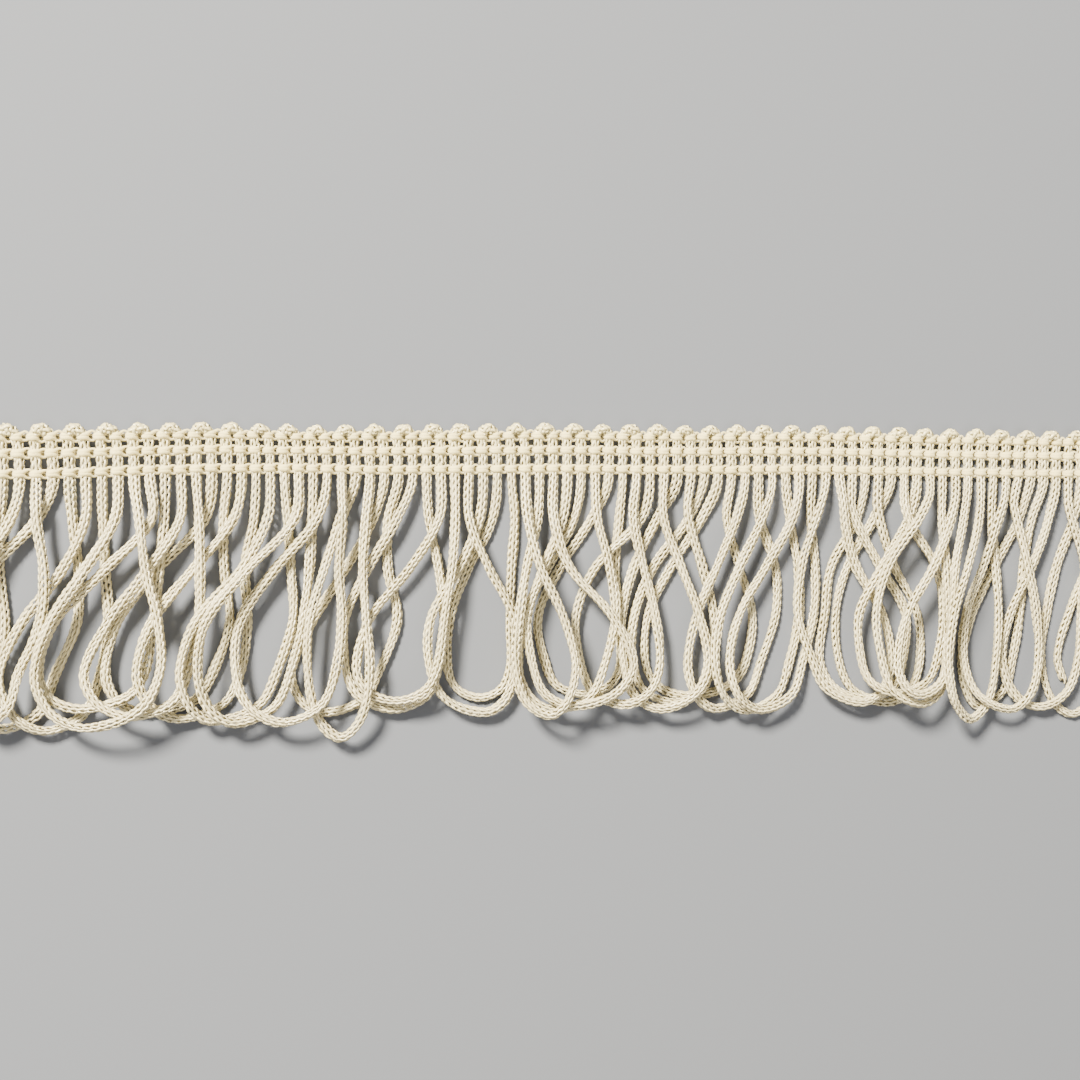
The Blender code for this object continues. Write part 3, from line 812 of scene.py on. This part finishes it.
def chain_link(row, run, shape, chance):
    """Cross-sections of one link, a little unlike its neighbours."""
    after = min(run + 1, LAST_RUN)
    pitch = run_x(after) - run_x(after - 1)
    start = run_x(run) - pitch / 2 + lean_of(run) * ROW_LEAN[row]
    lean, length, width, sag, place, rise = chance.normal(0, 1, 6)
    lean = BASE_LEAN + LEAN_UNEVEN * lean
    sag = SAG_UNEVEN * sag + (TOP_ROW_SAG[run % 2] if row == TOP_ROW else 0.0)
    along = start + shape[:, 0] * pitch * (1 + LENGTH_UNEVEN * length)
    across = (shape[:, 1] * (1 + WIDTH_UNEVEN * width) + lean * near(shape[:, 0], *BASE_SPOT)
              + sag * near(shape[:, 0], *HEAD_SPOT) + PLACE_UNEVEN * place)
    height = shape[:, 2] + HEIGHT_UNEVEN * rise
    points = np.column_stack((along, CHAIN_ROWS[row] + across, height))
    core = np.array((start + pitch / 2, CHAIN_ROWS[row], LINK_CORE_HEIGHT))
    first, second = ring_frames(points, points - core, closed=True)
    radius = shape[:, 3] * (1 + RADIUS_UNEVEN * chance.normal(0, 1, len(shape)))
    return yarn_rings(points, first, second, radius, LINK_SIDES, squash=LINK_SQUASH)


def chain_row(row, chance):
    """One row of chain links, a link over each run."""
    shape = link_shape()
    links = YarnMesh(LINK_SIDES)
    for run in range(FIRST_RUN, LAST_RUN + 1):
        links.add(chain_link(row, run, shape, chance), closed=True)
    return links


def back_yarns(rows):
    """Yarns laid in straight behind the runs, two to a row."""
    laid = YarnMesh(LINK_SIDES)
    low = run_x(FIRST_RUN) - BACK_YARN_PAST_RUNS
    high = run_x(LAST_RUN) + BACK_YARN_PAST_RUNS
    along = np.linspace(low, high, BACK_YARN_STEPS)
    runs, places = zip(*RUN_SPACING)
    run = np.interp(along, places, runs)
    height = BACK_YARN_HEIGHT + BACK_YARN_DIP * np.cos(2 * np.pi * (run - 0.5))
    for row in rows:
        for side, place in enumerate(BACK_YARN_PLACES):
            sideways = BACK_YARN_SWAY * np.sin(2 * np.pi * (run + 0.25 * side))
            points = np.column_stack((along, row + place + sideways, height))
            upward = np.broadcast_to((0.0, 0.0, 1.0), points.shape)
            first, second = ring_frames(points, upward)
            laid.add(yarn_rings(points, first, second, BACK_YARN_RADIUS, LINK_SIDES))
    return laid


def chain_pieces(material):
    """The three chain rows and the yarns laid in behind them."""
    chance = np.random.default_rng(LINK_SEED)
    rows = (("lowest_chain_row", "loop_fringe"), ("middle_chain_row", "picot_heading"),
            ("upper_chain_row", "picot_heading"))
    for row, (name, node) in enumerate(rows):
        dress(chain_row(row, chance).make(name, material), node)
    dress(back_yarns(CHAIN_ROWS[:1]).make("lowest_laid_in_yarns", material),
          "loop_fringe")
    dress(back_yarns(CHAIN_ROWS[1:]).make("laid_in_yarns", material),
          "picot_heading")


class Amount:
    """A number that varies over a surface and joins in sums like a plain one."""

    def __init__(self, finish, socket):
        self.finish = finish
        self.socket = socket

    def maths(self, operation, first, second):
        made = self.finish.node("ShaderNodeMath", {"operation": operation}, {0: first, 1: second})
        return Amount(self.finish, made.outputs[0])

    def __add__(self, other):
        return self.maths("ADD", self, other)

    def __mul__(self, other):
        return self.maths("MULTIPLY", self, other)

    def __rsub__(self, other):
        return self.maths("SUBTRACT", other, self)

    __radd__ = __add__
    __rmul__ = __mul__


class Finish:
    """A material whose plain numbers sit on the shader's own sockets."""

    def __init__(self, name, numbers):
        self.material = bpy.data.materials.new(name)
        self.material.use_nodes = True
        self.tree = self.material.node_tree
        self.shader = self.tree.nodes["Principled BSDF"]
        for socket, value in numbers.items():
            self.shader.inputs[socket].default_value = value

    def node(self, kind, settings=None, inputs=None):
        """A node with its settings made first, then its values and links."""
        made = self.tree.nodes.new(kind)
        for setting, value in (settings or {}).items():
            setattr(made, setting, value)
        for socket, value in (inputs or {}).items():
            self.feed(made.inputs[socket], value)
        return made

    def feed(self, socket, value):
        if isinstance(value, Amount):
            value = value.socket
        if isinstance(value, bpy.types.NodeSocket):
            self.tree.links.new(value, socket)
        else:
            socket.default_value = value

    def noise(self, where, scale, detail):
        made = self.node("ShaderNodeTexNoise", {},
                         {"Vector": where, "Scale": scale, "Detail": detail})
        return Amount(self, made.outputs["Fac"])

    def along_yarn(self, lengthwise, around):
        """Place on the yarn, stretched so that a pattern runs along its fibres."""
        lay = self.node("ShaderNodeUVMap", {"uv_map": "yarn_lay"})
        return self.node("ShaderNodeVectorMath", {"operation": "MULTIPLY"},
                         {0: lay.outputs[0], 1: (lengthwise, around, 0.0)}).outputs[0]

    def inward(self, sides):
        """How far a yarn's surface faces into its tube or link, from 0 to 1, used as the mask of
        painted shade.
        """
        lay = self.node("ShaderNodeUVMap", {"uv_map": "yarn_lay"})
        split = self.node("ShaderNodeSeparateXYZ", {}, {0: lay.outputs[0]})
        off = Amount(self, split.outputs[1]) + (0.5 / sides - 0.5)
        off = self.node("ShaderNodeMath", {"operation": "ABSOLUTE"}, {0: off})
        facing = 1.0 - INWARD_FALL * Amount(self, off.outputs[0])
        return facing.maths("MAXIMUM", facing, 0.0)

    def place(self):
        return self.node("ShaderNodeTexCoord").outputs["Object"]

    def climb(self, axis, low, high):
        """0 up to one place along an axis of the trim, easing to 1 at another."""
        split = self.node("ShaderNodeSeparateXYZ", {}, {0: self.place()})
        made = self.node("ShaderNodeMapRange", {}, {0: split.outputs[axis], 1: low, 2: high})
        return Amount(self, made.outputs[0])

    def between(self, first, second, amount):
        """Blend of two colours, each given as three numbers or as a socket.

        Sockets 6 and 7 of a Mix node are the ones for colours.
        """
        sides = [colour if isinstance(colour, bpy.types.NodeSocket) else (*colour, 1.0)
                 for colour in (first, second)]
        made = self.node("ShaderNodeMix", {"data_type": "RGBA"},
                         {0: amount, 6: sides[0], 7: sides[1]})
        return made.outputs[2]

    def wear(self, colour, roughness, height, distance, strength):
        self.feed(self.shader.inputs["Base Color"], colour)
        self.feed(self.shader.inputs["Roughness"], roughness)
        bump = self.node("ShaderNodeBump", {}, {"Height": height, "Distance": distance,
                                                "Strength": strength})
        self.feed(self.shader.inputs["Normal"], bump.outputs[0])
        return self.material


def chainette_finish():
    """Bright filament yarn: fine lengthwise fibres with a soft lustre."""
    finish = Finish("chainette_cord", {"Metallic": 0.0, "Specular IOR Level": 1.0,
                                       "Coat Weight": 0.40, "Coat Roughness": 0.22,
                                       "Sheen Weight": 0.05, "Sheen Roughness": 0.45})
    fibres = finish.noise(finish.along_yarn(lengthwise=0.8, around=12.0), scale=1.0, detail=2.0)
    patches = finish.noise(finish.place(), scale=140.0, detail=2.0)
    colour = finish.between(CORD_SHADE, CORD_PALE, 0.45 * fibres + 0.55 * patches)
    toward_picots = finish.climb(1, *PICOT_CREAM_SPAN)
    colour = finish.between(colour, PICOT_CREAM, 0.9 * toward_picots)
    # painted shade on the yarn's inner sides, where the inside of the tube shows through the gaps
    # between stitches
    gaps = 0.8 * patches * finish.inward(YARN_SIDES)
    colour = finish.between(colour, CORD_PAINTED_GAP_SHADE, gaps)
    return finish.wear(colour, roughness=0.28 + 0.14 * fibres, height=fibres,
                       distance=0.05 * MM, strength=0.6)


def chain_yarn_finish():
    """Spun matte yarn: soft, a little fuzzy, creamier than the cord."""
    finish = Finish("chain_stitch_yarn", {"Metallic": 0.0, "Specular IOR Level": 0.3,
                                          "Sheen Weight": 0.35, "Sheen Roughness": 0.6})
    twist = finish.noise(finish.along_yarn(lengthwise=1.6, around=5.0), scale=1.0, detail=3.0)
    fluff = finish.noise(finish.place(), scale=4200.0, detail=3.0)
    height = 0.6 * twist + 0.4 * fluff
    colour = finish.between(CHAIN_SHADE, CHAIN_PALE, height)
    # painted shade on the inner side of each link's yarn
    colour = finish.between(colour, CHAIN_PAINTED_INNER_SHADE, 0.8 * finish.inward(LINK_SIDES))
    # painted shade on the chain yarn close to the floor, fading out higher up
    painted_low_shade = 1.0 - finish.climb(2, *PAINTED_LOW_SHADE_SPAN)
    colour = finish.between(colour, CHAIN_PAINTED_LOW_SHADE, 0.5 * painted_low_shade)
    return finish.wear(colour, roughness=0.78 + 0.12 * fluff, height=height,
                       distance=0.20 * MM, strength=0.7)


def plain_floor():
    bpy.ops.mesh.primitive_plane_add(size=FLOOR_SIZE * MM, location=(0, 0, 0))
    floor = bpy.context.object
    floor.name = "plain_floor"
    paper = Finish("floor_paper", {"Base Color": FLOOR_GREY, "Roughness": 0.9,
                                   "Specular IOR Level": 0.1})
    floor.data.materials.append(paper.material)


def soft_light(name, place, size, watts):
    """Round lamp, aimed at the middle of the trim. Place and size are metres."""
    lamp = bpy.data.lights.new(name, "AREA")
    lamp.color = WARM_WHITE
    lamp.shape = "DISK"
    lamp.size = size
    lamp.energy = watts
    light = bpy.data.objects.new(name, lamp)
    light.location = place
    light.rotation_mode = "QUATERNION"
    light.rotation_quaternion = (-Vector(place)).to_track_quat("-Z", "Y")
    bpy.context.scene.collection.objects.link(light)


def studio_light():
    soft_light("key_light", place=(-0.60, 0.72, 0.84), size=0.31, watts=112.0)
    soft_light("fill_light", place=(0.20, -0.70, 1.20), size=1.10, watts=12.0)
    world = bpy.data.worlds.new("pale_room")
    world.use_nodes = True
    background = world.node_tree.nodes["Background"]
    background.inputs["Color"].default_value = ROOM_WHITE
    background.inputs["Strength"].default_value = ROOM_STRENGTH
    bpy.context.scene.world = world


def photo_camera():
    """Camera straight above, a little left of the middle and turned to the right."""
    turn, roll = np.radians(CAMERA_TURN), np.radians(CAMERA_ROLL)
    ahead = Vector((np.sin(turn), 0.0, -np.cos(turn)))
    right = Vector((np.cos(turn), 0.0, np.sin(turn)))
    upward = Vector((0.0, 1.0, 0.0))
    across = right * np.cos(roll) + upward * np.sin(roll)
    up = upward * np.cos(roll) - right * np.sin(roll)
    axes = Matrix((across, up, -ahead)).transposed().to_4x4()
    lens = bpy.data.cameras.new("photo_camera")
    lens.sensor_width = SENSOR_WIDTH
    lens.lens = LENS
    lens.clip_start = NEAREST * MM
    camera = bpy.data.objects.new("photo_camera", lens)
    place = to_world() @ (Vector(CAMERA_AIM) * MM - ahead * CAMERA_DISTANCE * MM)
    camera.matrix_world = Matrix.Translation(place) @ axes
    bpy.context.scene.collection.objects.link(camera)
    bpy.context.scene.camera = camera


cord_pieces(chainette_finish())
chain_pieces(chain_yarn_finish())
plain_floor()
studio_light()
photo_camera()
